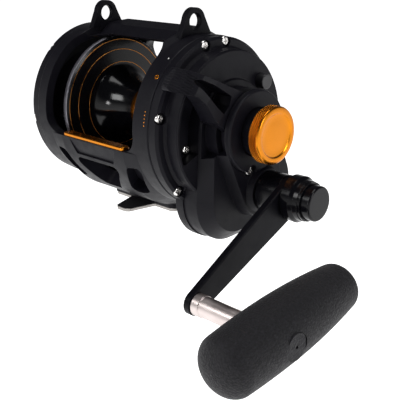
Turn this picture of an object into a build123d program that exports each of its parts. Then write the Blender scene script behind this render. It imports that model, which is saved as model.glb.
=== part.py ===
from build123d import *
import os
from math import acos, atan2, cos, degrees, hypot, pi, radians, sin, sqrt, tan

# Two-speed lever-drag trolling reel.  Millimetres, +Z up, +X along the spool
# towards the handle, +Y towards the rod tip.  The origin is the centre of the
# foot's underside.  Distances "from the axis" are measured from the spool axis.

# ---- driving dimensions ---------------------------------------------------
RUN = 0.05               # radial running clearance of a shaft in its bore
SEAT = 0.1               # clearance round a piece that sits in a pocket

# frame: two rings joined by bars cut from one shell
RING_R = 58.0            # outside radius of the rings
AXIS_Z = RING_R + 10.5   # height of the spool axis above the foot's underside
RING_BORE_R = 51.5       # inside radius of the shell
RING_IN_X = 49.2         # inner face of the left ring
RIGHT_RING_IN_X = 45.0   # the right ring is wider
RING_OUT_X = 59.45       # outer face of each ring
BULGE_X = 33.0           # the bridge and the belly stand proud between these
BULGE_END_X = 47.0       # and run out to the rings here
CROWN_FORWARD = 2.0      # how far the bridge's curve is shifted
CROWN_UP = 3.8
BELLY_DOWN = 5.6
BRIDGE_FRONT_DEG = 50.0  # the top bridge, seen from the handle side
BRIDGE_REAR_DEG = 102.5
BRIDGE_BEVEL_DEG = 90.0
CROSSBAR_TOP_Z = -12.4   # top of both lower crossbars, from the axis
CROSSBAR_LOW_DEG = 154.0
LEG_WINDOW_DEG = 128.0
FOOT_PAD_X = 32.0
FOOT_PAD_Y = 14.4

# foot
FOOT_T = 2.5
FOOT_WING_X = 32.6
FOOT_WING_Y = 13.5
FOOT_TAIL_Y = 35.0
FOOT_TAIL_ROOT = 12.0
FOOT_TAIL_TIP = 7.0
CLAMP_SPACING_X = 50.0
CLAMP_SPACING_Y = 16.0
CLAMP_HOLE_R = 2.6
CLAMP_HOLE_DEPTH = 9.0

# harness lugs
LUG_X = 45.5
LUG_T = 4.6
LUG_BASE_Y = 14.4
LUG_TOP_Z = RING_R + 17.0
LUG_TOP_R = 9.0
LUG_HOLE_R = 5.2
LUG_BASE_Z = RING_R - 1.6
LUG_TONGUE_Z = RING_R - 4.6
LUG_TONGUE_Y = 8.0

# wear bar on the rear crossbar
BAR_X = 32.5
BAR_T = 2.2
BAR_REAR_Y = -57.0
BAR_FRONT_Y = -50.0
BAR_SCREW_X = 28.0
BAR_SCREW_Y = -53.4

# spool
SPOOL_FACE_X = 35.2
FLANGE_T = 4.3
FLANGE_R = 49.5
FLARE_R = 31.0
ARBOR_R = 16.6
ARBOR_BAND_X = 4.3
SPOOL_BEARING_OD = 22.0
SPOOL_BEARING_W = 7.0
SHAFT_R = 4.0

# drag and drive
DRAG_GAP = 0.8           # washer to drive plate with the lever as drawn
DRAG_WASHER_T = 2.0
DRAG_WASHER_R = 44.0
PLATE_T = 3.0
PLATE_R = 46.0
RATCHET_TEETH = 20
RATCHET_R = 30.0
RATCHET_T = 3.0
SLEEVE_R = 8.0
DRIVE_BEARING_OD = 28.0

# gears: module 1, the same centre distance for both pairs
MODULE = 1.0
HIGH_GEAR_TEETH = 64
HIGH_PINION_TEETH = 21
LOW_GEAR_TEETH = 52
LOW_PINION_TEETH = 33
PRESSURE_DEG = 20.0
BACKLASH = 0.14
GEAR_W = 7.0
HANDLE_AXIS_DEG = -78.6  # direction of the gear shaft from the spool axis
CENTRE_DISTANCE = MODULE * (HIGH_GEAR_TEETH + HIGH_PINION_TEETH) / 2
HANDLE_Y = CENTRE_DISTANCE * cos(radians(HANDLE_AXIS_DEG))
HANDLE_Z = CENTRE_DISTANCE * sin(radians(HANDLE_AXIS_DEG))
GEAR_SHAFT_R = 6.0
HIGH_TIP_R = MODULE * (HIGH_GEAR_TEETH / 2 + 0.9)
LOW_TIP_R = MODULE * (LOW_GEAR_TEETH / 2 + 0.9)
PINION_TIP_R = MODULE * (LOW_PINION_TEETH / 2 + 0.9)

# side plates
PLATE_RIM_R = RING_R - 0.5
PLATE_RIM_X = 67.0
PLATE_WALL = 3.0
SHOULDER_R = 50.3
SHOULDER_X = 78.0
PLATE_SCREW_R = RING_R - 3.6
SCREW_HEAD_R = 3.2
SCREW_HEAD_H = 2.0
SCREW_SHANK_R = 1.6
COUNTERBORE_R = 4.0

# gear housing: a round top on the spool axis and two round lower corners
HOUSING_TOP_R = 31.5
CORNER_R = HIGH_TIP_R - 1.4
CORNER_SCREW_DEG = -43.3
CORNER_SPREAD = 12.3     # corners ahead of and behind the gear shaft
CORNER_DROP = 5.1        # corners below the gear shaft
HOUSING_WALL = 2.6
HOUSING_SIDE_X = 78.0
HOUSING_FACE_X = 89.0
FACE_TOP_INSET = 3.0     # from the side outline to the outline of the front face
FACE_CORNER_INSET = 7.0
PLATE_LIP = 0.8          # the side plate shows this much round the housing
BOSS_R = 27.0
BOSS_X = 100.5
PANEL_TOP_R = 29.0
PANEL_R = 20.5
PANEL_TAPER = 13.0
PANEL_X = 97.0
SLOT_X0 = 89.0
SLOT_X1 = 96.2

# pocket in the rear of the side plate's face
POCKET_DEG0 = 140.0
POCKET_DEG1 = 200.0
POCKET_FLOOR_X = 69.0
POCKET_WALL = 2.0

# drag lever, drawn at LEVER_DEG and swinging both ways
LEVER_DEG = 140.0
LEVER_BACK_DEG = 24.0
LEVER_FORWARD_DEG = 69.0
LEVER_ROOT_DEG = 40.0    # half the angle that the lever's root takes in its slot
LEVER_HUB_R = 22.8
LEVER_HUB_X0 = 89.6
LEVER_HUB_X1 = 95.6
CAM_R = 10.5
STOP_R = 5.2
STOP_Y = 29.6
STOP_Z = 25.4

# preset knob
KNOB_R = 18.75
KNOB_X0 = 108.0
KNOB_X1 = 116.0
NECK_R = 15.8

# handle
ARM_X0 = 118.0
ARM_T = 4.8
ARM_HUB_R = 12.8
ARM_END_R = 7.6
KNOB_AXIS_Y = -81.3
KNOB_AXIS_Z = -83.4
COLLAR_R = 13.6
HUB_RING_R = 15.3
HUB_STEP_R = 12.9
BUTTON_R = 11.6
BUTTON_END_X = 144.0
BUTTON_TRAVEL = 3.5
STUD_R = 6.45
STUD_COLLAR_R = 6.9
STUD_COLLAR_T = 5.7
GRIP_X = 177.0
GRIP_TILT = 5.0          # degrees nose up at rest; the grip turns freely
GRIP_BACK = 46.5         # from the stud to the thick end
GRIP_FRONT = 69.4        # from the stud to the thin end
GRIP_R = 19.4
GRIP_BACK_R = 17.7
GRIP_FRONT_R = 13.9
GRIP_BACK_ROUND = 12.3
GRIP_FRONT_ROUND = 7.6
CAP_R = 8.0
CAP_X = 195.8

ARM_X1 = ARM_X0 + ARM_T
SPOOL_OUT_X = SPOOL_FACE_X + FLANGE_T
WASHER_X = SPOOL_OUT_X + DRAG_WASHER_T
PLATE_X0 = WASHER_X + DRAG_GAP
PLATE_X1 = PLATE_X0 + PLATE_T
RATCHET_X1 = PLATE_X1 + RATCHET_T
DRIVE_BEARING_X0 = RING_OUT_X - 4.2
DRIVE_BEARING_X1 = DRIVE_BEARING_X0 + 7.0
HIGH_X0 = 66.0
LOW_X0 = HIGH_X0 + GEAR_W + 2.0
SLEEVE_X1 = LOW_X0 + GEAR_W + 1.5


# ---- helpers --------------------------------------------------------------
def rod(x0, x1, r, y=0.0, z=0.0):
    """Cylinder along X; y and z are from the spool axis."""
    solid = Cylinder(r, x1 - x0, align=(Align.CENTER, Align.CENTER, Align.MIN))
    return Pos(x0, y, AXIS_Z + z) * Rot(0, 90, 0) * solid


def tube(x0, x1, r_out, r_in, y=0.0, z=0.0):
    return rod(x0, x1, r_out, y, z) - rod(x0 - 1, x1 + 1, r_in, y, z)


def block(x0, x1, y0, y1, z0, z1):
    """Box between two corners; y and z are from the spool axis."""
    solid = Box(x1 - x0, y1 - y0, z1 - z0, align=(Align.MIN,) * 3)
    return Pos(x0, y0, AXIS_Z + z0) * solid


def turned(profile, y=0.0, z=0.0):
    """Solid of revolution about an X axis from (x, r) points."""
    face = make_face(Polyline(*profile, close=True))
    return Pos(0, y, AXIS_Z + z) * revolve(face, Axis.X, 360)


def slab(sketch, x0, x1):
    """A (y, z) sketch from the spool axis, raised from x0 to x1."""
    return extrude(at_x(sketch, x0), x1 - x0)


def at_x(sketch, x):
    """A (y, z) sketch from the spool axis, stood up at x."""
    return Plane((x, 0, AXIS_Z), x_dir=(0, 1, 0), z_dir=(1, 0, 0)) * sketch


def tapered(sketch, x0, x1, angle):
    return extrude(at_x(sketch, x0), x1 - x0, taper=angle)


def polar(r, deg):
    return (r * cos(radians(deg)), r * sin(radians(deg)))


def hull(*rounds):
    """Outline of circles (y, z, r), in anticlockwise order, joined by tangent lines."""
    count = len(rounds)
    normals = []
    for i in range(count):
        y1, z1, r1 = rounds[i]
        y2, z2, r2 = rounds[(i + 1) % count]
        lean = acos((r1 - r2) / hypot(y2 - y1, z2 - z1))
        normals.append(degrees(atan2(z2 - z1, y2 - y1) - lean))
    edges = []
    for i in range(count):
        y1, z1, r1 = rounds[i]
        y2, z2, r2 = rounds[(i + 1) % count]
        leave = normals[(i + 1) % count]
        turn = (leave - normals[i]) % 360
        points = []
        for y, z, r, deg in ((y1, z1, r1, normals[i]), (y2, z2, r2, normals[i]),
                             (y2, z2, r2, normals[i] + turn / 2), (y2, z2, r2, leave)):
            dy, dz = polar(r, deg)
            points.append((y + dy, z + dz))
        edges += [Line(points[0], points[1]), ThreePointArc(*points[1:])]
    return make_face(edges)


def sector(r, deg0, deg1):
    """Pie slice between two angles, seen along -X."""
    steps = [deg0 + (deg1 - deg0) * i / 12 for i in range(13)]
    return make_face(Polyline((0, 0), *[polar(r, d) for d in steps], close=True))


def radial_cut(deg, outline, corner_r, r0, r1):
    """Prism that looks along the direction deg from the axis, from r0 to r1.

    The outline's points are (x, s), with s positive towards smaller angles.
    """
    direction = Vector(0, cos(radians(deg)), sin(radians(deg)))
    plane = Plane((0, 0, AXIS_Z), x_dir=(1, 0, 0), z_dir=direction)
    face = make_face(Polyline(*outline, close=True))
    face = fillet(face.vertices(), corner_r)
    return extrude(plane.offset(r0) * face, r1 - r0)


def pan_head_screw(x, y, z, length, outward=1):
    """Pan-head screw along X with a cross recess; x is the seat of its head."""
    head = rod(0, SCREW_HEAD_H, SCREW_HEAD_R)
    head = fillet(head.edges().sort_by(Axis.X)[-1:], 1.3)
    head -= block(SCREW_HEAD_H - 1.0, SCREW_HEAD_H + 1, -1.7, 1.7, -0.4, 0.4)
    head -= block(SCREW_HEAD_H - 1.0, SCREW_HEAD_H + 1, -0.4, 0.4, -1.7, 1.7)
    screw = head + rod(-length, 0, SCREW_SHANK_R)
    if outward < 0:
        screw = Pos(0, 0, AXIS_Z) * Rot(0, 0, 180) * Pos(0, 0, -AXIS_Z) * screw
    return Pos(x, y, z) * screw


def gear(teeth, x0, x1, y, z, first_deg, bore_r):
    """Involute spur gear with a tooth centred on first_deg."""
    pitch_r = MODULE * teeth / 2
    base_r = pitch_r * cos(radians(PRESSURE_DEG))
    tip_r = pitch_r + 0.9 * MODULE
    root_r = pitch_r - 1.2 * MODULE
    half_tooth = degrees((pi * MODULE / 2 - BACKLASH) / 2 / pitch_r)
    inv_pitch = tan(radians(PRESSURE_DEG)) - radians(PRESSURE_DEG)

    def half_angle(r):
        roll = sqrt(max(0.0, (r / base_r) ** 2 - 1))
        return half_tooth + degrees(inv_pitch - (roll - atan2(roll, 1)))

    start_r = max(base_r, root_r)
    radii = [start_r + (tip_r - start_r) * i / 4 for i in range(5)]
    points = []
    for tooth in range(teeth):
        middle = first_deg + 360.0 * tooth / teeth
        points.append(polar(root_r, middle - half_angle(start_r)))
        points += [polar(r, middle - half_angle(r)) for r in radii[1:]]
        points += [polar(r, middle + half_angle(r)) for r in reversed(radii[1:])]
        points.append(polar(root_r, middle + half_angle(start_r)))
    blank = slab(make_face(Polyline(*points, close=True)), x0, x1)
    return Pos(0, y, z) * (blank - rod(x0 - 1, x1 + 1, bore_r))


def circles(shape, r):
    """The shape's circular edges of one radius."""
    return [e for e in shape.edges().filter_by(GeomType.CIRCLE) if abs(e.radius - r) < 0.01]


def group(pieces):
    return Compound(children=[p.solid() for p in pieces])


OUTSIDE_R = RING_R + 15  # clear of everything on the rings
CUT_R0 = RING_R - 28     # radial cuts start inside the bore
parts = {}

# ---- frame ----------------------------------------------------------------
frame = tube(-RING_OUT_X, RING_OUT_X, RING_R, RING_BORE_R)
frame = fillet(circles(frame, RING_R), 1.2)


def bulge(forward, rise):
    """Round bar between the rings whose middle stands off the axis; it runs out at both ends."""
    flush = Circle(RING_R - 0.1)
    proud = Pos(forward, rise) * Circle(RING_R)
    middle = slab(proud, -BULGE_X, BULGE_X)
    for end in (1, -1):
        middle += loft([at_x(proud, end * BULGE_X), at_x(flush, end * BULGE_END_X)], ruled=True)
    return middle


crown = bulge(CROWN_FORWARD, CROWN_UP) & block(-60, 60, -OUTSIDE_R, OUTSIDE_R, 0, OUTSIDE_R)
belly = bulge(0.0, -BELLY_DOWN) & block(-60, 60, -OUTSIDE_R, OUTSIDE_R, -OUTSIDE_R, CROSSBAR_TOP_Z)
frame += (crown + belly) - rod(-60, 60, RING_BORE_R)


def window_span(middle, deg_a, deg_b, r_a=RING_R, r_b=RING_R):
    """Offsets along the cut plane of two angles at two radii."""
    return (-r_a * sin(radians(deg_a - middle)), -r_b * sin(radians(deg_b - middle)))


def big_window(middle, edge_deg, above_z):
    """Window between the bridge's edge and the top of a crossbar."""
    far = 2.4 * RING_R if middle > 90 else -2.4 * RING_R
    edge = window_span(middle, edge_deg, edge_deg)[0]
    left, right = -RING_IN_X, RIGHT_RING_IN_X
    outline = [(left, edge), (right, edge), (right, edge - far), (left, edge - far)]
    cut = radial_cut(middle, outline, 22.0, CUT_R0, RING_R + 32)
    cut &= block(-60, 60, -RING_R - 32, RING_R + 32, above_z, RING_R + 32)
    low = cut.edges().filter_by(Axis.Y).group_by(Axis.Z)[0]
    return fillet(low, 12.0)


frame -= big_window(BRIDGE_REAR_DEG + 40, BRIDGE_REAR_DEG, CROSSBAR_TOP_Z)
frame -= big_window(BRIDGE_FRONT_DEG - 40, BRIDGE_FRONT_DEG, CROSSBAR_TOP_Z)

# sloping rear face of the bridge
bevel = [(14, RING_R + 4.2), polar(RING_R + 0.4, BRIDGE_BEVEL_DEG), polar(RING_R - 5, 98.5),
         (-26, RING_R - 8), (-26, OUTSIDE_R), (14, OUTSIDE_R)]
bevel_face = make_face(Polyline(*bevel, close=True))
frame -= slab(bevel_face, -RING_IN_X + 5, RIGHT_RING_IN_X - 5)

for side in (1, -1):
    low_deg = 90 + side * (90 + 180 - CROSSBAR_LOW_DEG)
    leg_deg = 90 + side * (90 + 180 - LEG_WINDOW_DEG)
    s_low, s_leg = window_span(90 + side * 129, low_deg, leg_deg)
    outline = [(-25.5, s_low), (24.5, s_low), (8, s_leg), (-8, s_leg)]
    frame -= radial_cut(90 + side * 129, outline, 4.0, CUT_R0, OUTSIDE_R)
    for end in (1, -1):
        s_a, s_b = window_span(90 + side * 125.5, 90 + side * 113, 90 + side * 138)
        pocket = [(end * 46, s_a), (end * 33, s_a), (end * 24, s_b), (end * 40, s_b)]
        pocket = radial_cut(90 + side * 125.5, pocket, 4.0, CUT_R0, OUTSIDE_R)
        frame -= pocket & tube(-60, 60, OUTSIDE_R, RING_R - 4.6)
    s_a, s_b = window_span(90 + side * 109, 90 + side * 103.5, 90 + side * 114)
    plain = [(-24, s_a), (24, s_a), (20, s_b), (-20, s_b)]
    plain = radial_cut(90 + side * 109, plain, 0.8, CUT_R0, OUTSIDE_R)
    frame -= plain & tube(-60, 60, OUTSIDE_R, RING_R + 0.8)

# pad under the frame that the foot is screwed to
pad = block(-FOOT_PAD_X, FOOT_PAD_X, -FOOT_PAD_Y, FOOT_PAD_Y, FOOT_T - AXIS_Z, -RING_BORE_R)
pad = fillet(pad.edges().filter_by(Axis.Z), 4.0)
frame += pad - rod(-60, 60, RING_BORE_R)

# small drain holes at the rear of each ring
for x in (-53.5, 53.5):
    hole = Cylinder(1.7, 30, align=(Align.CENTER, Align.CENTER, Align.MIN))
    frame -= Pos(x, 0, AXIS_Z) * Rot(77, 0, 0) * hole & tube(-60, 60, OUTSIDE_R, RING_R - 3.5)

# seats for the lugs
for x in (-LUG_X, LUG_X):
    seat_x0 = x - LUG_T / 2 - SEAT
    seat_x1 = x + LUG_T / 2 + SEAT
    frame -= block(seat_x0, seat_x1, -LUG_BASE_Y, LUG_BASE_Y, LUG_BASE_Z, OUTSIDE_R)
    frame -= block(seat_x0, seat_x1, -LUG_TONGUE_Y - SEAT, LUG_TONGUE_Y + SEAT, LUG_TONGUE_Z, RING_R + 2)


# ---- harness lugs ---------------------------------------------------------
def harness_lug(x):
    base = [(-LUG_BASE_Y, LUG_BASE_Z), (LUG_BASE_Y, LUG_BASE_Z)]
    top_z = LUG_TOP_Z - LUG_TOP_R
    cap = Pos(0, top_z) * Circle(LUG_TOP_R)
    shoulder = [(LUG_TOP_R * 0.93, top_z + 3), (-LUG_TOP_R * 0.93, top_z + 3)]
    shape = make_face(Polyline(*base, *shoulder, close=True))
    plate = slab(shape + cap, x - LUG_T / 2, x + LUG_T / 2)
    plate -= rod(x - 9, x + 9, LUG_HOLE_R, 0, top_z)
    plate = fillet(circles(plate, LUG_HOLE_R), 0.9)
    tongue_z = LUG_TONGUE_Z + SEAT
    tongue = block(x - LUG_T / 2, x + LUG_T / 2, -LUG_TONGUE_Y, LUG_TONGUE_Y, tongue_z, LUG_BASE_Z + 0.5)
    return plate + tongue


def upright(r, z0, z1, x, y):
    """Cylinder along Z; z is from the spool axis."""
    return Pos(x, y, AXIS_Z + z0) * Cylinder(r, z1 - z0, align=(Align.CENTER, Align.CENTER, Align.MIN))


LUG_SCREW_Y = 5.0
lug_screws = []
for name, x in (("harness_lug_left", -LUG_X), ("harness_lug_right", LUG_X)):
    lug = harness_lug(x)
    for y in (-LUG_SCREW_Y, LUG_SCREW_Y):
        floor_z = sqrt(RING_BORE_R ** 2 - y ** 2)
        lug -= upright(1.2, 50, LUG_BASE_Z + 2, x, y)
        frame -= upright(1.25, 45, LUG_TONGUE_Z + 1, x, y)
        frame -= upright(2.3, 45, floor_z + 0.9, x, y)
        screw = upright(2.1, floor_z - 0.3, floor_z + 0.9, x, y)
        lug_screws.append(screw + upright(1.15, floor_z, LUG_BASE_Z + 1.6, x, y))
    parts[name] = lug
parts["harness_lug_screws"] = group(lug_screws)

# ---- wear bar -------------------------------------------------------------
bar = block(-BAR_X, BAR_X, BAR_REAR_Y, BAR_FRONT_Y, CROSSBAR_TOP_Z, CROSSBAR_TOP_Z + BAR_T)
bar = fillet(bar.edges().filter_by(Axis.Z), 2.4)
bar = fillet(bar.edges().group_by(Axis.Z)[-1], 0.7)
bar_screws = []
for x in (-BAR_SCREW_X, BAR_SCREW_X):
    head_z = CROSSBAR_TOP_Z + BAR_T
    cone = Cone(1.2, 2.4, 1.2, align=(Align.CENTER, Align.CENTER, Align.MAX))
    cone = Pos(x, BAR_SCREW_Y, AXIS_Z + head_z) * cone
    shank = upright(1.15, CROSSBAR_TOP_Z - 6, head_z - 1.2, x, BAR_SCREW_Y)
    slot = block(x - 1.3, x + 1.3, BAR_SCREW_Y - 0.3, BAR_SCREW_Y + 0.3, head_z - 0.5, head_z + 1)
    bar -= cone + upright(1.25, CROSSBAR_TOP_Z - 1, head_z, x, BAR_SCREW_Y)
    frame -= upright(1.2, CROSSBAR_TOP_Z - 6.1, CROSSBAR_TOP_Z + 1, x, BAR_SCREW_Y)
    bar_screws.append(cone + shank - slot)
parts["wear_bar"] = bar
parts["wear_bar_screws"] = group(bar_screws)

# ---- foot -----------------------------------------------------------------
wings = fillet(Rectangle(2 * FOOT_WING_X, 2 * FOOT_WING_Y).vertices(), 5.0)
outline = Sketch() + wings
for side in (1, -1):
    half_tail = [(FOOT_TAIL_ROOT + 3, FOOT_WING_Y - 2), (FOOT_TAIL_ROOT, FOOT_WING_Y + 2),
                 (FOOT_TAIL_TIP, FOOT_TAIL_Y - 2), (FOOT_TAIL_TIP - 3, FOOT_TAIL_Y)]
    tail = half_tail + [(-x, y) for x, y in reversed(half_tail)]
    outline += make_face(Polyline(*[(x, side * y) for x, y in tail], close=True))
foot = extrude(outline, FOOT_T)
foot = fillet(foot.edges().group_by(Axis.Z)[-1], 0.7)
foot_screws = []
FOOT_SCREWS = [(x, y) for x in (-12.0, 12.0) for y in (-8.0, 8.0)]
for x, y in FOOT_SCREWS:
    head = Pos(x, y, 0) * Cone(3.4, 1.6, 1.8, align=(Align.CENTER, Align.CENTER, Align.MIN))
    seat = Pos(x, y, 0) * Cone(3.5, 1.7, 1.8, align=(Align.CENTER, Align.CENTER, Align.MIN))
    foot -= seat + upright(1.7, -AXIS_Z - 1, FOOT_T - AXIS_Z + 1, x, y)
    frame -= upright(1.65, FOOT_T - AXIS_Z - 1, FOOT_T - AXIS_Z + 8.1, x, y)
    foot_screws.append(head + upright(1.6, 1.5 - AXIS_Z, FOOT_T - AXIS_Z + 8, x, y))
for x in (-CLAMP_SPACING_X / 2, CLAMP_SPACING_X / 2):
    for y in (-CLAMP_SPACING_Y / 2, CLAMP_SPACING_Y / 2):
        foot -= upright(CLAMP_HOLE_R, -AXIS_Z - 1, FOOT_T - AXIS_Z + 1, x, y)
        frame -= upright(CLAMP_HOLE_R, FOOT_T - AXIS_Z - 1, CLAMP_HOLE_DEPTH - AXIS_Z, x, y)
parts["reel_foot"] = foot
parts["foot_screws"] = group(foot_screws)

# ---- housing outlines -----------------------------------------------------
def housing_shape(grow, corner_inset=0.0):
    """Outline of the gear housing, grown by a distance."""
    corner_z = HANDLE_Z - CORNER_DROP + corner_inset / 2
    spread = CORNER_SPREAD + corner_inset / 2
    corner_r = CORNER_R + grow - corner_inset
    return hull((0, 0, HOUSING_TOP_R + grow), (HANDLE_Y - spread, corner_z, corner_r),
                (HANDLE_Y + spread, corner_z, corner_r))


housing_outline = housing_shape(0.0)
housing_inner = housing_shape(-HOUSING_WALL)
housing_fit = housing_shape(SEAT)
face_outline = housing_shape(-FACE_TOP_INSET, FACE_CORNER_INSET - FACE_TOP_INSET)
panel_outline = hull((0, 0, PANEL_TOP_R), (HANDLE_Y, HANDLE_Z, PANEL_R))

# ---- right side plate -----------------------------------------------------
wall_r = SHOULDER_R - PLATE_WALL
hub_r = DRIVE_BEARING_OD / 2 + 3.5
web_x = RING_OUT_X + PLATE_WALL
right_plate = turned([
    (RING_OUT_X, PLATE_RIM_R), (PLATE_RIM_X - 1.6, PLATE_RIM_R), (PLATE_RIM_X, PLATE_RIM_R - 1.6),
    (PLATE_RIM_X, SHOULDER_R + 1.6), (PLATE_RIM_X + 1.6, SHOULDER_R), (SHOULDER_X - 1.0, SHOULDER_R),
    (SHOULDER_X, SHOULDER_R - 1.0), (SHOULDER_X, HOUSING_TOP_R - 6),
    (SHOULDER_X - PLATE_WALL, HOUSING_TOP_R - 6),
    (SHOULDER_X - PLATE_WALL, wall_r), (web_x, wall_r), (web_x, DRIVE_BEARING_OD / 2),
    (DRIVE_BEARING_X0, DRIVE_BEARING_OD / 2), (DRIVE_BEARING_X0, hub_r), (RING_OUT_X, hub_r),
])
lobe_plate = slab(housing_shape(PLATE_LIP), RING_OUT_X, PLATE_RIM_X - 0.8)
right_plate += lobe_plate - rod(RING_OUT_X - 1, 90, PLATE_RIM_R - 2)
# pocket with a thin outer wall and its own floor
pocket_r1 = SHOULDER_R - POCKET_WALL
pocket_turn = degrees(POCKET_WALL / pocket_r1)
pocket_box = sector(70, POCKET_DEG0 - pocket_turn, POCKET_DEG1 + pocket_turn)
pocket_box = slab(pocket_box, POCKET_FLOOR_X - POCKET_WALL, SHOULDER_X)
right_plate += pocket_box & tube(50, 90, SHOULDER_R - 0.5, HOUSING_TOP_R - HOUSING_WALL)
pocket = slab(sector(70, POCKET_DEG0, POCKET_DEG1), POCKET_FLOOR_X, SHOULDER_X + 2)
pocket &= tube(50, 90, pocket_r1, HOUSING_TOP_R - HOUSING_WALL)
right_plate -= fillet(pocket.edges().filter_by(Axis.X), 1.5)
# open the shoulder where the gear housing sits and keep a ledge to carry it
right_plate -= slab(housing_fit, PLATE_RIM_X, SHOULDER_X + 5)
right_plate -= slab(housing_inner, web_x, SHOULDER_X + 5)
ledge = slab(housing_outline, web_x - 0.5, PLATE_RIM_X) - slab(housing_inner, web_x - 1, PLATE_RIM_X + 1)
right_plate += ledge
right_plate -= rod(50, 70, DRIVE_BEARING_OD / 2)
bush_x0 = RING_OUT_X + 1.2
bush_x1 = bush_x0 + 4.4
bush_r = GEAR_SHAFT_R + 2.6
right_plate += tube(RING_OUT_X + 0.2, bush_x1, bush_r + 2.5, bush_r, HANDLE_Y, HANDLE_Z)
right_plate -= rod(bush_x0, bush_x1 + 1, bush_r, HANDLE_Y, HANDLE_Z)
# stop button boss
stop_guide = rod(SHOULDER_X - 7.5, SHOULDER_X - 1, STOP_R + 2.0, STOP_Y, STOP_Z)
right_plate += stop_guide - slab(housing_fit, 50, 90)
right_plate -= rod(SHOULDER_X - 6.5, SHOULDER_X + 1, STOP_R + RUN, STOP_Y, STOP_Z)

RIGHT_SCREW_DEGS = (81.3, 101.5, 165.2, 223.2, 338.0)
screw_seat_x = PLATE_RIM_X - SCREW_HEAD_H - 0.6
plate_screws = []
for deg in RIGHT_SCREW_DEGS:
    y, z = polar(PLATE_SCREW_R, deg)
    right_plate -= rod(screw_seat_x, PLATE_RIM_X + 3, COUNTERBORE_R, y, z)
    right_plate -= rod(50, 70, SCREW_SHANK_R + 0.05, y, z)
    frame -= rod(RING_IN_X + 2.5, 70, SCREW_SHANK_R + 0.05, y, z)
    plate_screws.append(pan_head_screw(screw_seat_x, y, z, screw_seat_x - RING_IN_X - 3))
parts["right_plate_screws"] = group(plate_screws)

# ---- gear housing ---------------------------------------------------------
housing = slab(housing_outline, PLATE_RIM_X, HOUSING_SIDE_X)
housing += loft([at_x(housing_outline, HOUSING_SIDE_X), at_x(face_outline, HOUSING_FACE_X)], ruled=True)
housing += rod(HOUSING_SIDE_X, BOSS_X, BOSS_R)
housing += tapered(panel_outline, HOUSING_FACE_X - 0.5, PANEL_X, PANEL_TAPER)
housing += turned([(HOUSING_FACE_X, 0), (HOUSING_FACE_X, 18.5), (PANEL_X - 2, 17.8), (PANEL_X + 1, 16.0),
                   (BOSS_X + 0.5, 14.4), (BOSS_X + 0.5, 0)], HANDLE_Y, HANDLE_Z)
# room for the lever to swing over the housing, and the slot for its root
sweep_low = LEVER_DEG - LEVER_FORWARD_DEG - LEVER_ROOT_DEG
sweep_high = LEVER_DEG + LEVER_BACK_DEG + LEVER_ROOT_DEG
sweep = sector(90, sweep_low, sweep_high)
housing -= slab(sweep, SHOULDER_X + 2, SLOT_X1) & tube(60, 110, 60, BOSS_R)
housing -= slab(sweep, SLOT_X0, SLOT_X1) & tube(60, 110, 60, LEVER_HUB_R - 4)
# cavities
housing -= slab(housing_inner, PLATE_RIM_X - 1, SHOULDER_X)
housing -= rod(PLATE_RIM_X - 1, LOW_X0 - 1, HIGH_TIP_R + 0.5, HANDLE_Y, HANDLE_Z)
housing -= rod(PLATE_RIM_X - 1, SLEEVE_X1 + 0.5, LOW_TIP_R + 1.0, HANDLE_Y, HANDLE_Z)
housing -= rod(PLATE_RIM_X - 1, SLEEVE_X1 + 0.5, PINION_TIP_R + 1.0)
housing -= rod(SLOT_X0, SLOT_X1 + 0.6, LEVER_HUB_R + SEAT)
housing -= rod(80, SLOT_X0 + 1, CAM_R + 0.4)
housing -= rod(SLOT_X1, BOSS_X + 1, NECK_R + 0.4)
housing = fillet([e for e in circles(housing, BOSS_R) if abs(e.center().X - BOSS_X) < 0.01], 1.2)
out_bearing_x0 = 89.5
out_bearing_r = 11.0
housing -= rod(out_bearing_x0, out_bearing_x0 + 7, out_bearing_r, HANDLE_Y, HANDLE_Z)
housing -= rod(80, 110, GEAR_SHAFT_R + 2.0, HANDLE_Y, HANDLE_Z)

# screws: beside the boss, in the front corner of the face and in the side plate's pocket
corner_screw_y, corner_screw_z = polar(LOW_TIP_R + SCREW_SHANK_R + 1.17, CORNER_SCREW_DEG)
HOUSING_SCREWS = (
    (-5.2, -25.3, PANEL_X - SCREW_HEAD_H + 1.2),
    (HANDLE_Y + corner_screw_y, HANDLE_Z + corner_screw_z, HOUSING_FACE_X - SCREW_HEAD_H - 0.4),
)
housing_screws = []
for y, z, seat_x in HOUSING_SCREWS:
    housing -= rod(seat_x, BOSS_X + 3, COUNTERBORE_R, y, z)
    housing -= rod(seat_x - 8, seat_x + 1, SCREW_SHANK_R + 0.05, y, z)
    housing_screws.append(pan_head_screw(seat_x, y, z, 6.5))
pocket_screw_y, pocket_screw_z = polar(HOUSING_TOP_R + SCREW_HEAD_R + 2.1, POCKET_DEG1 - 5.2)
right_plate -= rod(60, POCKET_FLOOR_X + 1, SCREW_SHANK_R + 0.05, pocket_screw_y, pocket_screw_z)
housing_screws.append(pan_head_screw(POCKET_FLOOR_X, pocket_screw_y, pocket_screw_z, 6.0))
parts["gear_housing"] = housing
parts["housing_screws"] = group(housing_screws)

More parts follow.
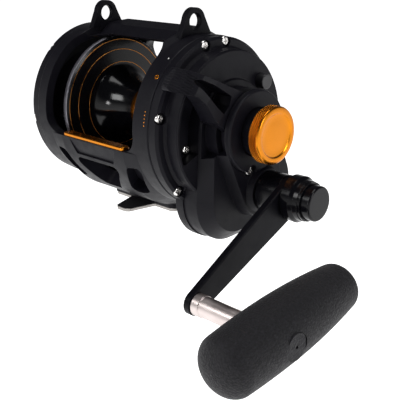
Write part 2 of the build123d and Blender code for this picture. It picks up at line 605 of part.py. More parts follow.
# ---- left side plate ------------------------------------------------------
LEFT_FACE_X = RING_OUT_X + 13.0
LEFT_CAP_X = LEFT_FACE_X + 3.5
left_plate = turned([
    (-RING_OUT_X, PLATE_RIM_R), (-PLATE_RIM_X + 1.6, PLATE_RIM_R), (-PLATE_RIM_X, PLATE_RIM_R - 1.6),
    (-PLATE_RIM_X, SHOULDER_R), (-PLATE_RIM_X - 1.4, SHOULDER_R - 1.4), (-LEFT_FACE_X + 1, 40.0),
    (-LEFT_FACE_X, 38.0), (-LEFT_FACE_X, 17.5), (-LEFT_CAP_X + 1, 16.5), (-LEFT_CAP_X, 15.0),
    (-LEFT_CAP_X, 0),
    (-LEFT_FACE_X + 3, 0), (-LEFT_FACE_X + 3, SHAFT_R + 3), (-54.0, SHAFT_R + 3), (-54.0, SHAFT_R + 6.5),
    (-LEFT_FACE_X + 3, SHAFT_R + 6.5), (-LEFT_FACE_X + 3, 37.0), (-PLATE_RIM_X + 1.5, 48.0),
    (-RING_OUT_X, 48.0),
])
LEFT_SCREW_DEGS = (75, 130, 185, 235, 305, 15)
left_seat_x = -(PLATE_RIM_X - SCREW_HEAD_H - 0.6)
left_screws = []
for deg in LEFT_SCREW_DEGS:
    y, z = polar(PLATE_SCREW_R, deg)
    left_plate -= rod(-PLATE_RIM_X - 3, left_seat_x, COUNTERBORE_R, y, z)
    left_plate -= rod(-70, -50, SCREW_SHANK_R + 0.05, y, z)
    frame -= rod(-70, -RING_IN_X - 2.5, SCREW_SHANK_R + 0.05, y, z)
    left_screws.append(pan_head_screw(left_seat_x, y, z, screw_seat_x - RING_IN_X - 3, -1))
parts["left_plate_screws"] = group(left_screws)

# clicker: a sliding button on the outside carries a pawl inside
CLICK_DEG = 200.0
CLICK_R0 = 31.0
CLICK_TRAVEL = 5.0
CLICK_RATCHET_R = 18.0


def click_bar(x0, x1, r0, r1, half_w):
    """Bar along the clicker's radial slot."""
    blank = block(x0, x1, r0, r1, -half_w, half_w)
    return Pos(0, 0, AXIS_Z) * Rot(CLICK_DEG, 0, 0) * Pos(0, 0, -AXIS_Z) * blank


left_plate -= click_bar(-80, -50, CLICK_R0 - 3 - CLICK_TRAVEL - SEAT, CLICK_R0 + 3 + SEAT, 2.5 + RUN)
click_button = click_bar(-LEFT_FACE_X - 3.2, -LEFT_FACE_X - 0.2, CLICK_R0 - 5, CLICK_R0 + 5, 4.5)
click_button = fillet(click_button.edges().group_by(Axis.X)[0], 1.0)
click_button += click_bar(-LEFT_FACE_X - 1, -66.0, CLICK_R0 - 3, CLICK_R0 + 3, 2.5)
parts["click_button"] = click_button
click_pawl = click_bar(-66.0, -63.0, CLICK_R0 - 4, CLICK_R0 + 4, 3.6)
click_pawl += click_bar(-63.0, -41.5, CLICK_R0 - 2, CLICK_R0 + 2, 2.0)
click_pawl += click_bar(-44.5, -41.5, CLICK_RATCHET_R + CLICK_TRAVEL + 0.4, CLICK_R0, 1.2)
parts["click_pawl"] = click_pawl
parts["left_side_plate"] = left_plate
parts["right_side_plate"] = right_plate
parts["frame"] = frame

# ---- spool ----------------------------------------------------------------
flare_rise = FLARE_R - ARBOR_R
flare_run = SPOOL_FACE_X - 1.8 - ARBOR_BAND_X


def flare(sign):
    steps = [i / 10 for i in range(11)]
    points = []
    for t in steps:
        across = sin(t * pi / 2)
        x = ARBOR_BAND_X + flare_run * across
        points.append((sign * x, ARBOR_R + flare_rise * (1 - cos(t * pi / 2))))
    return points


bearing_r = SPOOL_BEARING_OD / 2
hub_end_x = SPOOL_OUT_X - 3.0
bearing_x = hub_end_x - SPOOL_BEARING_W
rim = [(SPOOL_FACE_X, FLANGE_R - 2.0), (SPOOL_FACE_X + 0.8, FLANGE_R), (SPOOL_OUT_X, FLANGE_R)]
seat = [(hub_end_x, bearing_r), (bearing_x, bearing_r), (bearing_x, SHAFT_R + 2.5)]
# the drive side is hollow behind the drag washer
hollow_x = SPOOL_OUT_X - 15.5
hollow = [(SPOOL_OUT_X, FLARE_R - 3.0), (hollow_x + 10, FLARE_R - 7.0), (hollow_x + 4, ARBOR_R + 1.5),
          (hollow_x, ARBOR_R - 1.5), (hollow_x, bearing_r + 2.5), (hub_end_x, bearing_r + 2.5)]
half = rim + hollow + seat
plain_end = [(SPOOL_OUT_X, bearing_r + 2.5), (hub_end_x, bearing_r + 2.5)]
left_half = [(-x, r) for x, r in reversed(rim + plain_end + seat)]
with BuildPart() as spool_builder:
    with BuildSketch(Plane.XY):
        with BuildLine():
            Spline(*flare(1))
            Polyline(flare(1)[-1], *half, *left_half, flare(-1)[-1])
            Spline(*flare(-1))
            Line((-ARBOR_BAND_X, ARBOR_R), (ARBOR_BAND_X, ARBOR_R))
        make_face()
    revolve(axis=Axis.X)
parts["spool"] = Pos(0, 0, AXIS_Z) * spool_builder.part

bearing_bore = SHAFT_R + RUN
for name, x0 in (("spool_bearing_right", bearing_x), ("spool_bearing_left", -bearing_x - SPOOL_BEARING_W)):
    bearing = tube(x0, x0 + SPOOL_BEARING_W, bearing_r, bearing_bore)
    for x in (x0 - 1, x0 + SPOOL_BEARING_W - 0.5):
        bearing -= tube(x, x + 1.5, bearing_r - 2.2, bearing_bore + 2.2)
    parts[name] = bearing
parts["drag_washer"] = tube(SPOOL_OUT_X, WASHER_X, DRAG_WASHER_R, 20.0)


def ratchet(teeth, x0, x1, tip_r, depth, bore_r):
    points = []
    for tooth in range(teeth):
        deg = 360.0 * tooth / teeth
        points.append(polar(tip_r - depth, deg))
        points.append(polar(tip_r, deg + 0.5))
        points.append(polar(tip_r, deg + 0.2 * 360 / teeth))
    return slab(make_face(Polyline(*points, close=True)), x0, x1) - rod(x0 - 1, x1 + 1, bore_r)


parts["click_ratchet"] = ratchet(24, -SPOOL_OUT_X - 4.0, -SPOOL_OUT_X, CLICK_RATCHET_R, 2.2, 12.0)

# ---- drag shaft -----------------------------------------------------------
spool_shaft = rod(-66.0, 105.0, SHAFT_R)
parts["spool_shaft"] = fillet(spool_shaft.edges().filter_by(GeomType.CIRCLE), 0.6)
parts["left_shaft_bush"] = tube(-66.0, -54.0, SHAFT_R + 3.0, SHAFT_R + RUN)
parts["bearing_spacer"] = tube(-bearing_x + RUN, bearing_x - RUN, SHAFT_R + 2.0, SHAFT_R + RUN)
SPRING_T = 0.75
SPRING_R = 7.5
springs = []
for i in range(4):
    x = hub_end_x + 0.2 + i * 1.25
    outer_x, bore_x = (x, x + 0.25) if i % 2 else (x + 0.25, x)
    springs.append(turned([(bore_x, SHAFT_R + RUN), (bore_x + SPRING_T, SHAFT_R + RUN),
                           (outer_x + SPRING_T, SPRING_R), (outer_x, SPRING_R)]))
parts["drag_spring_washers"] = group(springs)

# ---- drive ----------------------------------------------------------------
parts["drive_plate"] = tube(PLATE_X0, PLATE_X1, PLATE_R, 14.0)
parts["anti_reverse_ratchet"] = ratchet(RATCHET_TEETH, PLATE_X1, RATCHET_X1, RATCHET_R, 3.0, 14.0)
sleeve_bore = SHAFT_R + RUN
drive_sleeve = turned([
    (PLATE_X0, sleeve_bore), (SLEEVE_X1, sleeve_bore), (SLEEVE_X1, SLEEVE_R),
    (DRIVE_BEARING_X0 - 0.4, SLEEVE_R), (DRIVE_BEARING_X0 - 0.4, SLEEVE_R + 2.5),
    (RATCHET_X1 + 2, SLEEVE_R + 2.5), (RATCHET_X1 + 2, 20.0),
    (RATCHET_X1, 20.0), (RATCHET_X1, 14.0), (PLATE_X0, 14.0),
])
parts["drive_sleeve"] = drive_sleeve
parts["drive_bearing"] = tube(DRIVE_BEARING_X0, DRIVE_BEARING_X1, DRIVE_BEARING_OD / 2, SLEEVE_R + RUN)

# teeth in mesh at rest: a pinion gap faces a gear tooth
gear_deg = HANDLE_AXIS_DEG + 180


def pinion_first(teeth):
    return HANDLE_AXIS_DEG + 180.0 / teeth


high_x1 = HIGH_X0 + GEAR_W
low_x1 = LOW_X0 + GEAR_W
high_first = pinion_first(HIGH_PINION_TEETH)
low_first = pinion_first(LOW_PINION_TEETH)
main_bore = GEAR_SHAFT_R + RUN
parts["high_pinion"] = gear(HIGH_PINION_TEETH, HIGH_X0, high_x1, 0, 0, high_first, SLEEVE_R)
parts["low_pinion"] = gear(LOW_PINION_TEETH, LOW_X0, low_x1, 0, 0, low_first, SLEEVE_R)
parts["high_main_gear"] = gear(HIGH_GEAR_TEETH, HIGH_X0, high_x1, HANDLE_Y, HANDLE_Z, gear_deg, GEAR_SHAFT_R)
parts["low_main_gear"] = gear(LOW_GEAR_TEETH, LOW_X0, low_x1, HANDLE_Y, HANDLE_Z, gear_deg, main_bore)

# anti-reverse dogs on posts of the side plate, lifted clear of the ratchet
DOG_PIVOT_R = 40.0
DOG_POST_R = 2.5
DOG_DEGS = (60.0, 160.0)
dog_x0 = PLATE_X1 + 0.3
dog_x1 = RATCHET_X1 - 0.1
for index, deg in enumerate(DOG_DEGS):
    y, z = polar(DOG_PIVOT_R, deg)
    tip_y, tip_z = polar(RATCHET_R + 1.4, deg - 22)
    dog = slab(hull((y, z, 5.0), (tip_y, tip_z, 1.0)), dog_x0, dog_x1)
    parts["anti_reverse_dog_%d" % (index + 1)] = dog - rod(dog_x0 - 1, dog_x1 + 1, DOG_POST_R + RUN, y, z)
    post = rod(dog_x0, RING_OUT_X + 1, DOG_POST_R, y, z) + rod(dog_x1 + 0.3, RING_OUT_X + 1, 5.0, y, z)
    parts["right_side_plate"] += post

# ---- crank: gear shaft, arm and knob stud ---------------------------------
ROD_R = 2.5
gear_shaft = rod(bush_x0 + 0.3, ARM_X1 + 4.5, GEAR_SHAFT_R, HANDLE_Y, HANDLE_Z)
gear_shaft -= rod(HIGH_X0 + 4, 200, ROD_R + RUN, HANDLE_Y, HANDLE_Z)
parts["gear_shaft"] = gear_shaft
parts["gear_shaft_bush"] = tube(bush_x0, bush_x1, bush_r, GEAR_SHAFT_R + RUN, HANDLE_Y, HANDLE_Z)
parts["gear_shaft_bearing"] = tube(out_bearing_x0, out_bearing_x0 + 7, out_bearing_r, GEAR_SHAFT_R + RUN,
                                   HANDLE_Y, HANDLE_Z)
collar_x0 = BOSS_X + 0.9
parts["shaft_collar"] = turned([
    (collar_x0, GEAR_SHAFT_R), (collar_x0, COLLAR_R - 0.8), (collar_x0 + 0.8, COLLAR_R), (ARM_X0, COLLAR_R),
    (ARM_X0, GEAR_SHAFT_R),
], HANDLE_Y, HANDLE_Z)

arm = slab(hull((HANDLE_Y, HANDLE_Z, ARM_HUB_R), (KNOB_AXIS_Y, KNOB_AXIS_Z, ARM_END_R)), ARM_X0, ARM_X1)
arm = fillet(arm.edges().group_by(Axis.X)[-1], 0.9)
arm -= rod(ARM_X0 - 1, ARM_X1 + 1, GEAR_SHAFT_R, HANDLE_Y, HANDLE_Z)
arm -= rod(ARM_X0 - 1, ARM_X1 + 1, 4.5, KNOB_AXIS_Y, KNOB_AXIS_Z)
parts["handle_arm"] = arm

hub_x1 = BUTTON_END_X - 6.6
hub_bore_r = BUTTON_R + RUN
parts["handle_hub"] = turned([
    (ARM_X1, GEAR_SHAFT_R), (ARM_X1, HUB_RING_R - 0.7), (ARM_X1 + 0.7, HUB_RING_R),
    (ARM_X1 + 7.2, HUB_RING_R),
    (ARM_X1 + 9.4, HUB_STEP_R + 0.7), (hub_x1 - 2, HUB_STEP_R + 0.4), (hub_x1 - 2, HUB_STEP_R),
    (hub_x1, HUB_STEP_R), (hub_x1, hub_bore_r), (ARM_X1 + 4.5, hub_bore_r), (ARM_X1 + 4.5, GEAR_SHAFT_R),
], HANDLE_Y, HANDLE_Z)

button_x0 = ARM_X1 + 4.5 + BUTTON_TRAVEL + 0.4
button = rod(button_x0, BUTTON_END_X, BUTTON_R, HANDLE_Y, HANDLE_Z)
parts["shift_button"] = fillet(button.edges().filter_by(GeomType.CIRCLE).sort_by(Axis.X)[-1:], 1.4)
parts["shift_rod"] = rod(HIGH_X0 + 4 + BUTTON_TRAVEL + 0.5, button_x0, ROD_R, HANDLE_Y, HANDLE_Z)

stud_x1 = GRIP_X + 9.0
collar_x1 = ARM_X1 + STUD_COLLAR_T
parts["knob_stud"] = turned([
    (ARM_X0, 0), (ARM_X0, 4.5), (ARM_X1, 4.5), (ARM_X1, STUD_COLLAR_R), (collar_x1 - 0.3, STUD_COLLAR_R),
    (collar_x1, STUD_COLLAR_R - 0.3), (collar_x1, STUD_R), (stud_x1, STUD_R), (stud_x1, 0),
], KNOB_AXIS_Y, KNOB_AXIS_Z)

# ---- grip -----------------------------------------------------------------
GRIP_STATIONS = 14


def grip_radius(along):
    """Radius of the grip at a distance along it from the stud, towards the thin end."""
    if along < 0:
        reach, end_r, end_round, power = GRIP_BACK, GRIP_BACK_R, GRIP_BACK_ROUND, 2.0
    else:
        reach, end_r, end_round, power = GRIP_FRONT, GRIP_FRONT_R, GRIP_FRONT_ROUND, 2.6
    body_r = GRIP_R + (end_r - GRIP_R) * (along / reach) ** 2
    into_end = max(0.0, end_round - (reach - abs(along))) / end_round
    return body_r * (1 - into_end ** power) ** (1 / power)


middle = (GRIP_FRONT - GRIP_BACK) / 2
span = (GRIP_FRONT + GRIP_BACK) / 2
stations = [middle + span * sin(pi / 2 * i / GRIP_STATIONS) for i in range(-GRIP_STATIONS, GRIP_STATIONS + 1)]
with BuildPart() as grip_builder:
    with BuildSketch(Plane.XY):
        with BuildLine():
            Spline(*[(grip_radius(y), y) for y in stations])
            Line((0, GRIP_FRONT), (0, -GRIP_BACK))
        make_face()
    revolve(axis=Axis.Y)
grip = Pos(GRIP_X, KNOB_AXIS_Y, AXIS_Z + KNOB_AXIS_Z) * Rot(GRIP_TILT, 0, 0) * grip_builder.part
bushing_r = STUD_R + 2.2
bushing_x0 = GRIP_X - GRIP_R + 1.0
plug_x0 = stud_x1 + 1.0
grip -= rod(bushing_x0 - 5, plug_x0, bushing_r, KNOB_AXIS_Y, KNOB_AXIS_Z)
grip -= rod(plug_x0, GRIP_X + 30, CAP_R, KNOB_AXIS_Y, KNOB_AXIS_Z)
parts["handle_grip"] = grip
parts["grip_bushing"] = tube(bushing_x0, plug_x0, bushing_r, STUD_R + RUN, KNOB_AXIS_Y, KNOB_AXIS_Z)
grip_cap = rod(plug_x0, CAP_X, CAP_R, KNOB_AXIS_Y, KNOB_AXIS_Z)
parts["grip_cap"] = grip_cap - rod(CAP_X - 1.8, CAP_X + 10, 1.0, KNOB_AXIS_Y, KNOB_AXIS_Z)

# ---- drag lever, cam and preset knob --------------------------------------
lever_outline = [
    (14, -13.0), (23, -15.4), (34, -12.4), (44, -10.2), (55, -8.1), (62, -6.4), (66.8, -4.6), (67.8, 2.5),
    (67.2, 8.5), (65.2, 10.6), (60.5, 8.6), (53, 5.8), (46.5, 6.8), (38, 9.6), (31.5, 12.1), (24, 12.0),
    (14, 12.0),
]
lever_window = [(31.2, -8.0), (47.8, -6.2), (55.6, -4.6), (58.8, -2.2), (57.2, -0.4), (51, 0.3), (45, 2.3),
                (36.7, 3.9), (30.2, 4.6), (29, -2)]
lever_side = [
    (14, LEVER_HUB_X1), (31, LEVER_HUB_X1), (46, 94.0), (55, 90.5), (62, 84.8), (66.3, 78.2), (67.9, 73.6),
    (62.4, 73.6), (61.2, 78.4), (57, SHOULDER_X + 2.8), (28, SHOULDER_X + 2.8), (28, LEVER_HUB_X0),
    (14, LEVER_HUB_X0),
]
RIB_START = 57.5         # the thumb pad's ribs run from here to its end
RIB_DEPTH = 0.45
RIB_GAPS = (-4.2, -2.4, -0.6, 1.2, 3.0, 4.8, 6.6, 8.4)
RIB_GAP_W = 0.8


def turn_to(deg, solid):
    """Turn a solid drawn along +Y to the angle deg about the spool axis."""
    return Pos(0, 0, AXIS_Z) * Rot(deg, 0, 0) * Pos(0, 0, -AXIS_Z) * solid


def side_prism(lower):
    """Prism of the lever's side view, with its top lowered by a distance."""
    face = make_face(Polyline(*[(u, -x) for u, x in lever_side], close=True))
    plane = Plane((-lower, 0, AXIS_Z - 30), x_dir=(0, 1, 0), z_dir=(0, 0, 1))
    return extrude(plane * face, 60)


flat = make_face(Polyline(*lever_outline, close=True))
flat = fillet([v for v in flat.vertices() if v.X > 20], 2.0)
window = make_face(Polyline(*lever_window, close=True))
lever = slab(flat, 70, 100) & side_prism(0)
lever -= slab(fillet(window.vertices(), 1.0), 60, 110)
rib_zone = lever - side_prism(RIB_DEPTH)
for v in RIB_GAPS:
    lever -= rib_zone & block(60, 110, RIB_START, 80, v - RIB_GAP_W / 2, v + RIB_GAP_W / 2)
lever = turn_to(LEVER_DEG, lever)
lever += rod(LEVER_HUB_X0, LEVER_HUB_X1, LEVER_HUB_R)
lever -= rod(80, 110, CAM_R)
parts["drag_lever"] = lever
parts["drag_cam"] = tube(SLEEVE_X1 + 0.5, SLOT_X1 + 0.8, CAM_R, SHAFT_R + RUN)
parts["preset_collar"] = tube(SLOT_X1 + 1.2, KNOB_X0, NECK_R, SHAFT_R + RUN)
knob = rod(KNOB_X0, KNOB_X1, KNOB_R)
knob = fillet(knob.edges().filter_by(GeomType.CIRCLE), 1.3)
parts["preset_knob"] = knob - tube(KNOB_X1 - 0.5, KNOB_X1 + 1, 14.2, 13.0)

stop_button = rod(SHOULDER_X - 2.5, SHOULDER_X + 6.0, STOP_R, STOP_Y, STOP_Z)
parts["strike_button"] = fillet(stop_button.edges().filter_by(GeomType.CIRCLE).sort_by(Axis.X)[-1:], 0.8)

# ---- write the parts ------------------------------------------------------
os.makedirs("parts", exist_ok=True)
for name, shape in parts.items():
    export_step(shape, "parts/" + name + ".step")
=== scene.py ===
import math

import bpy
from mathutils import Matrix, Vector


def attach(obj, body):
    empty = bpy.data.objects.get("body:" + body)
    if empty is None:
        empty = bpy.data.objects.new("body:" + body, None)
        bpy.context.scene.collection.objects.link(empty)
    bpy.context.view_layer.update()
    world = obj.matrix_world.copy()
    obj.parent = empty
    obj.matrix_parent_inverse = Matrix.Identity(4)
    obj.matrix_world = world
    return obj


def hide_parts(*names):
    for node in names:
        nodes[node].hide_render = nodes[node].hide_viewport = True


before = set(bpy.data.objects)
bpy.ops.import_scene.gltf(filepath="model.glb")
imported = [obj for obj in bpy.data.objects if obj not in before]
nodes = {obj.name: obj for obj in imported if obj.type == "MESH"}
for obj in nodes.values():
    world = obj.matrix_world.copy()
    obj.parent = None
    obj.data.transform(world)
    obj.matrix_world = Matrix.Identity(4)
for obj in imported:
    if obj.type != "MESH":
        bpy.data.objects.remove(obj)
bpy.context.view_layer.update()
scene = bpy.context.scene
MM = 0.001
AXIS_Z = 68.5

# ---- camera ---------------------------------------------------------------
AZIMUTH, ELEVATION, ROLL = (math.radians(v) for v in (44.84, 20.55, -1.86))
right = Vector((math.cos(AZIMUTH), math.sin(AZIMUTH), 0))
back = Vector((math.sin(AZIMUTH) * math.cos(ELEVATION),
               -math.cos(AZIMUTH) * math.cos(ELEVATION), math.sin(ELEVATION)))
up = back.cross(right)
cam_right = math.cos(ROLL) * right + math.sin(ROLL) * up
cam_up = -math.sin(ROLL) * right + math.cos(ROLL) * up
camera = bpy.data.objects.new("camera", bpy.data.cameras.new("camera"))
camera.data.sensor_width = 36.0
camera.data.lens = 69.4
camera.data.clip_start = 0.01
camera.matrix_world = Matrix((cam_right, cam_up, back)).transposed().to_4x4()
camera.location = (0.4103, -0.3661, 0.2024)
scene.collection.objects.link(camera)
scene.camera = camera
scene.view_settings.view_transform = "Standard"


# ---- material helpers -----------------------------------------------------
class Nodes:
    """Short names for the shader nodes that every material here uses."""

    def __init__(self, name):
        self.material = bpy.data.materials.new(name)
        self.material.use_nodes = True
        self.tree = self.material.node_tree
        self.shader = self.tree.nodes["Principled BSDF"]
        coords = self.tree.nodes.new("ShaderNodeTexCoord")
        self.place = coords.outputs["Object"]

    def add(self, kind, **inputs):
        node = self.tree.nodes.new("ShaderNode" + kind)
        self.feed(node, inputs)
        return node

    def feed(self, node, inputs):
        """Set or link inputs, named "i0", "i1" … by place or by the socket's own name."""
        for key, value in inputs.items():
            by_place = key[0] == "i" and key[1:].isdigit()
            socket = node.inputs[int(key[1:]) if by_place else key.replace("_", " ")]
            if isinstance(value, bpy.types.NodeSocket):
                self.tree.links.new(value, socket)
            else:
                socket.default_value = value

    def noise(self, scale, detail=3.0, vector=None):
        node = self.add("TexNoise", Scale=scale, Detail=detail, Vector=vector or self.place)
        return node.outputs["Fac"]

    def math(self, operation, a, b=0.0, clamp=False):
        node = self.tree.nodes.new("ShaderNodeMath")
        node.operation = operation
        node.use_clamp = clamp
        self.feed(node, {"i0": a, "i1": b})
        return node.outputs[0]

    def remap(self, value, from_min, from_max, to_min, to_max):
        node = self.add("MapRange", i0=value, i1=from_min, i2=from_max, i3=to_min, i4=to_max)
        return node.outputs[0]

    def mix(self, factor, a, b):
        node = self.tree.nodes.new("ShaderNodeMix")
        node.data_type = "RGBA"
        self.feed(node, {"i0": factor, "i6": a, "i7": b})
        return node.outputs[2]

    def radius(self, y=0.0, z=0.0):
        """Distance in metres from the X axis through (y, z), measured in mm from the spool axis."""
        split = self.tree.nodes.new("ShaderNodeSeparateXYZ")
        self.feed(split, {"i0": self.place})
        dy = self.math("SUBTRACT", split.outputs[1], y * MM)
        dz = self.math("SUBTRACT", split.outputs[2], (AXIS_Z + z) * MM)
        squares = self.math("ADD", self.math("MULTIPLY", dy, dy), self.math("MULTIPLY", dz, dz))
        return self.math("SQRT", squares)

    def edge_wear(self, size, amount):
        """(rounded normal, mask of worn edges)"""
        bevel = self.tree.nodes.new("ShaderNodeBevel")
        bevel.samples = 6
        bevel.inputs["Radius"].default_value = size
        geometry = self.tree.nodes.new("ShaderNodeNewGeometry")
        dot = self.tree.nodes.new("ShaderNodeVectorMath")
        dot.operation = "DOT_PRODUCT"
        self.feed(dot, {"i0": bevel.outputs[0], "i1": geometry.outputs["Normal"]})
        edge = self.remap(dot.outputs["Value"], 0.995, 0.86, 0.0, 1.0)
        patchy = self.remap(self.noise(420.0), 0.35, 0.65, 0.35, 1.0)
        worn = self.math("MULTIPLY", edge, self.math("MULTIPLY", patchy, amount), clamp=True)
        return bevel.outputs[0], worn


def lighter(colour, factor):
    return tuple(min(1.0, c * factor) for c in colour[:3]) + (1.0,)


def finish(name, colour, rough, metallic=0.0, specular=0.5, coat=0.0, grain=2600.0, grain_depth=0.04,
           mottle=0.12, rough_spread=0.08, wear=0.35, wear_size=0.0004, rings=None, **sockets):
    """Matte or glossy finish with grain, uneven gloss and rubbed edges.

    rings is (y, z, pitch, depth) for turning marks about an X axis.
    """
    n = Nodes(name)
    colour = tuple(colour) + (1.0,)
    broad = n.noise(55.0, 4.0)
    fine = n.noise(grain, 2.0)
    patches = n.remap(broad, 0.3, 0.7, 0.0, 1.0)
    tone = n.mix(patches, lighter(colour, 1 - mottle), lighter(colour, 1 + mottle))
    normal, worn = n.edge_wear(wear_size, wear)
    bare = lighter(colour, 1.25) if metallic else lighter([c * 1.6 + 0.012 for c in colour[:3]], 1.0)
    n.feed(n.shader, {"Base Color": n.mix(worn, tone, bare)})
    smears = n.remap(n.noise(140.0, 6.0), 0.3, 0.7, -rough_spread, rough_spread)
    uneven = n.math("ADD", n.math("ADD", smears, rough), n.math("MULTIPLY", worn, -0.12), clamp=True)
    n.feed(n.shader, {"Roughness": uneven})
    height = fine
    if rings:
        y, z, pitch, depth = rings
        turned = n.math("SINE", n.math("MULTIPLY", n.radius(y, z), 2000 * math.pi / pitch))
        height = n.math("ADD", n.math("MULTIPLY", turned, depth), height)
    bump = n.add("Bump", Strength=grain_depth, Distance=0.0004, Height=height, Normal=normal)
    n.feed(n.shader, {"Normal": bump.outputs[0]})
    n.shader.inputs["Metallic"].default_value = metallic
    n.shader.inputs["Specular IOR Level"].default_value = specular
    n.shader.inputs["Coat Weight"].default_value = coat
    for key, value in sockets.items():
        n.shader.inputs[key.replace("_", " ")].default_value = value
    return n


GOLD = (0.60, 0.20, 0.012)
HANDLE_Y, HANDLE_Z = 8.4, -41.66

graphite = finish("graphite", (0.0042, 0.0039, 0.0062), 0.44, specular=0.11, grain=3000,
                  grain_depth=0.06).material
black_anodised = finish("black_anodised", (0.0030, 0.0029, 0.0045), 0.38, specular=0.07, grain=4200,
                        grain_depth=0.04).material
gloss_black = finish("gloss_black", (0.0022, 0.0021, 0.0032), 0.18, coat=0.02, specular=0.16,
                     Coat_Roughness=0.08, rough_spread=0.05, grain_depth=0.01, wear=0.2).material
plastic = finish("black_plastic", (0.012, 0.012, 0.014), 0.42, grain=1700, grain_depth=0.10,
                 wear=0.15).material
steel = finish("steel", (0.74, 0.72, 0.70), 0.20, metallic=1.0, mottle=0.06, grain_depth=0.006,
               wear=0.3, wear_size=0.0002).material
brass = finish("brass", (0.70, 0.48, 0.20), 0.30, metallic=1.0, mottle=0.1).material
carbon = finish("carbon", (0.02, 0.02, 0.022), 0.5, grain=1500, grain_depth=0.2).material
gold = finish("gold_anodised", GOLD, 0.27, metallic=1.0, mottle=0.05, rough_spread=0.04, wear=0.5,
              grain_depth=0.006).material
TURNING = (0.0, 0.0, 0.45, 0.3)
gold_turned = finish("gold_turned", GOLD, 0.22, metallic=1.0, mottle=0.04, rough_spread=0.03, wear=0.4,
                     grain_depth=0.012, rings=TURNING, wear_size=0.0002).material
# the knob's knurl: painted shade darkens the grooves against the crests
knurl_nodes = finish("gold_knurled", GOLD, 0.24, metallic=1.0, mottle=0.04, rough_spread=0.03, wear=0.3,
                     grain_depth=0.012, rings=TURNING, wear_size=0.0001)
knurl_split = knurl_nodes.tree.nodes.new("ShaderNodeSeparateXYZ")
knurl_nodes.feed(knurl_split, {"i0": knurl_nodes.place})
groove = knurl_nodes.remap(knurl_nodes.radius(), 0.0180, 0.0186, 1.0, 0.0)
behind_face = knurl_nodes.remap(knurl_split.outputs[0], 0.1139, 0.1141, 1.0, 0.0)
knurl_base = knurl_nodes.shader.inputs["Base Color"].links[0].from_socket
groove_shade_mask = knurl_nodes.math("MULTIPLY", groove, behind_face)
# painted shade: dark gold mixed into the knurl grooves
GROOVE_SHADE_COLOUR = (0.12, 0.028, 0.002, 1.0)
knurl_nodes.feed(knurl_nodes.shader, {"Base Color": knurl_nodes.mix(groove_shade_mask, knurl_base, GROOVE_SHADE_COLOUR)})
gold_knurled = knurl_nodes.material
gold_line = finish("gold_line", (0.50, 0.20, 0.04), 0.32, metallic=1.0, mottle=0.1, wear=0.0).material
chrome_dark = finish("flange_rim", (0.20, 0.195, 0.22), 0.38, metallic=1.0, mottle=0.08, wear=0.4,
                     wear_size=0.00015, grain_depth=0.005).material

# spool: satin turned flanges outside the flare, deep gloss inside it
FLARE_EDGE = 0.031
spool_nodes = finish("spool_black", (0.0018, 0.0018, 0.0026), 0.12, coat=0.04, specular=0.26,
                     Coat_Roughness=0.04, grain_depth=0.05, rings=(0.0, 0.0, 0.5, 0.12), wear=0.25)
outside = spool_nodes.remap(spool_nodes.radius(), FLARE_EDGE - 0.0002, FLARE_EDGE + 0.0002, 0.0, 1.0)
spool_rough = spool_nodes.remap(outside, 0.0, 1.0, 0.13, 0.24)
spool_smear = spool_nodes.remap(spool_nodes.noise(90.0), 0.3, 0.7, -0.03, 0.03)
spool_uneven = spool_nodes.math("ADD", spool_rough, spool_smear)
spool_nodes.feed(spool_nodes.shader, {"Roughness": spool_uneven})
spool_black = spool_nodes.material

# foot: black faces, bright machined edges
foot_nodes = finish("foot_metal", (0.013, 0.013, 0.015), 0.38, grain_depth=0.05)
foot_normal = foot_nodes.tree.nodes.new("ShaderNodeNewGeometry").outputs["True Normal"]
foot_split = foot_nodes.tree.nodes.new("ShaderNodeSeparateXYZ")
foot_nodes.feed(foot_split, {"i0": foot_normal})
side_on = foot_nodes.remap(foot_nodes.math("ABSOLUTE", foot_split.outputs[2]), 0.80, 0.70, 0.0, 1.0)
foot_base = foot_nodes.shader.inputs["Base Color"].links[0].from_socket
BARE_METAL = (0.30, 0.285, 0.27, 1.0)
foot_nodes.feed(foot_nodes.shader, {"Base Color": foot_nodes.mix(side_on, foot_base, BARE_METAL),
                                    "Metallic": side_on})
foot_metal = foot_nodes.material

# knob stud: stainless sleeve with fine grain
stud_steel = finish("stud_steel", (0.60, 0.53, 0.51), 0.36, metallic=1.0, mottle=0.05, grain=1400,
                    grain_depth=0.008, rough_spread=0.06, wear=0.4).material


def rubber(name, colour, bump):
    """Soft closed-cell rubber: pebbled, speckled, with a dusty sheen."""
    n = Nodes(name)
    cells = n.add("TexVoronoi", Scale=900.0, Vector=n.place).outputs["Distance"]
    specks = n.noise(820.0, 2.0)
    broad = n.noise(40.0, 3.0)
    dark, light = lighter(colour, 0.5), lighter(colour, 2.1)
    speckled = n.mix(n.remap(specks, 0.36, 0.68, 0.0, 1.0), dark, light)
    dusty = n.remap(broad, 0.3, 0.7, 0.0, 0.35)
    n.feed(n.shader, {"Base Color": n.mix(dusty, speckled, lighter(colour, 1.1))})
    n.feed(n.shader, {"Roughness": n.remap(n.noise(600.0), 0.3, 0.7, 0.56, 0.76)})
    height = n.math("ADD", n.math("MULTIPLY", cells, 0.7), n.math("MULTIPLY", specks, 0.6))
    bumped = n.add("Bump", Strength=bump, Distance=0.0007, Height=height)
    n.feed(n.shader, {"Normal": bumped.outputs[0]})
    n.shader.inputs["Specular IOR Level"].default_value = 0.24
    n.shader.inputs["Sheen Weight"].default_value = 0.04
    n.shader.inputs["Sheen Roughness"].default_value = 0.5
    return n.material


grip_rubber = rubber("grip_rubber", (0.0050, 0.0046, 0.0062, 1.0), 0.6)
cap_rubber = rubber("cap_rubber", (0.0060, 0.0056, 0.0075, 1.0), 0.5)

